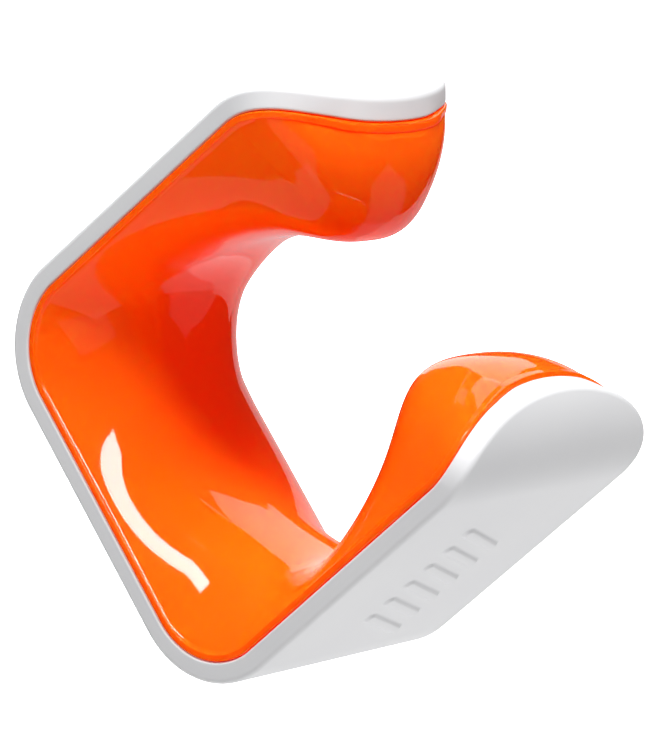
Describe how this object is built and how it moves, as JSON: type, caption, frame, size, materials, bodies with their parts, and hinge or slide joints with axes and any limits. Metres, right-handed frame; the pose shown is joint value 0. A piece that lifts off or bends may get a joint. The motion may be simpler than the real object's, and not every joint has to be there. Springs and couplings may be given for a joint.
{
  "type": "bicycle tyre wall clip",
  "caption": "C-shaped wall clip with a soft humped liner that grips a bicycle's tyre through its open mouth.",
  "frame": {"origin": "centre of the base's wall face, at mid-width", "axes": "+Y into the wall, mouth towards -Y, +Z along the tyre and the band's width, +X across the two arms"},
  "size_m": [0.0522, 0.053, 0.032],
  "materials": {
    "shell_plastic": "satin white moulded plastic",
    "liner_elastomer": "glossy orange elastomer"
  },
  "bodies": {
    "shell": {"outer_shell": "shell_plastic"},
    "liner": {"tyre_liner": "liner_elastomer"}
  },
  "joints": [
    {"name": "liner_pull", "type": "slide", "parent": "shell", "child": "liner", "axis": [0, 0, 1], "range_m": [0, 0.036]}
  ]
}
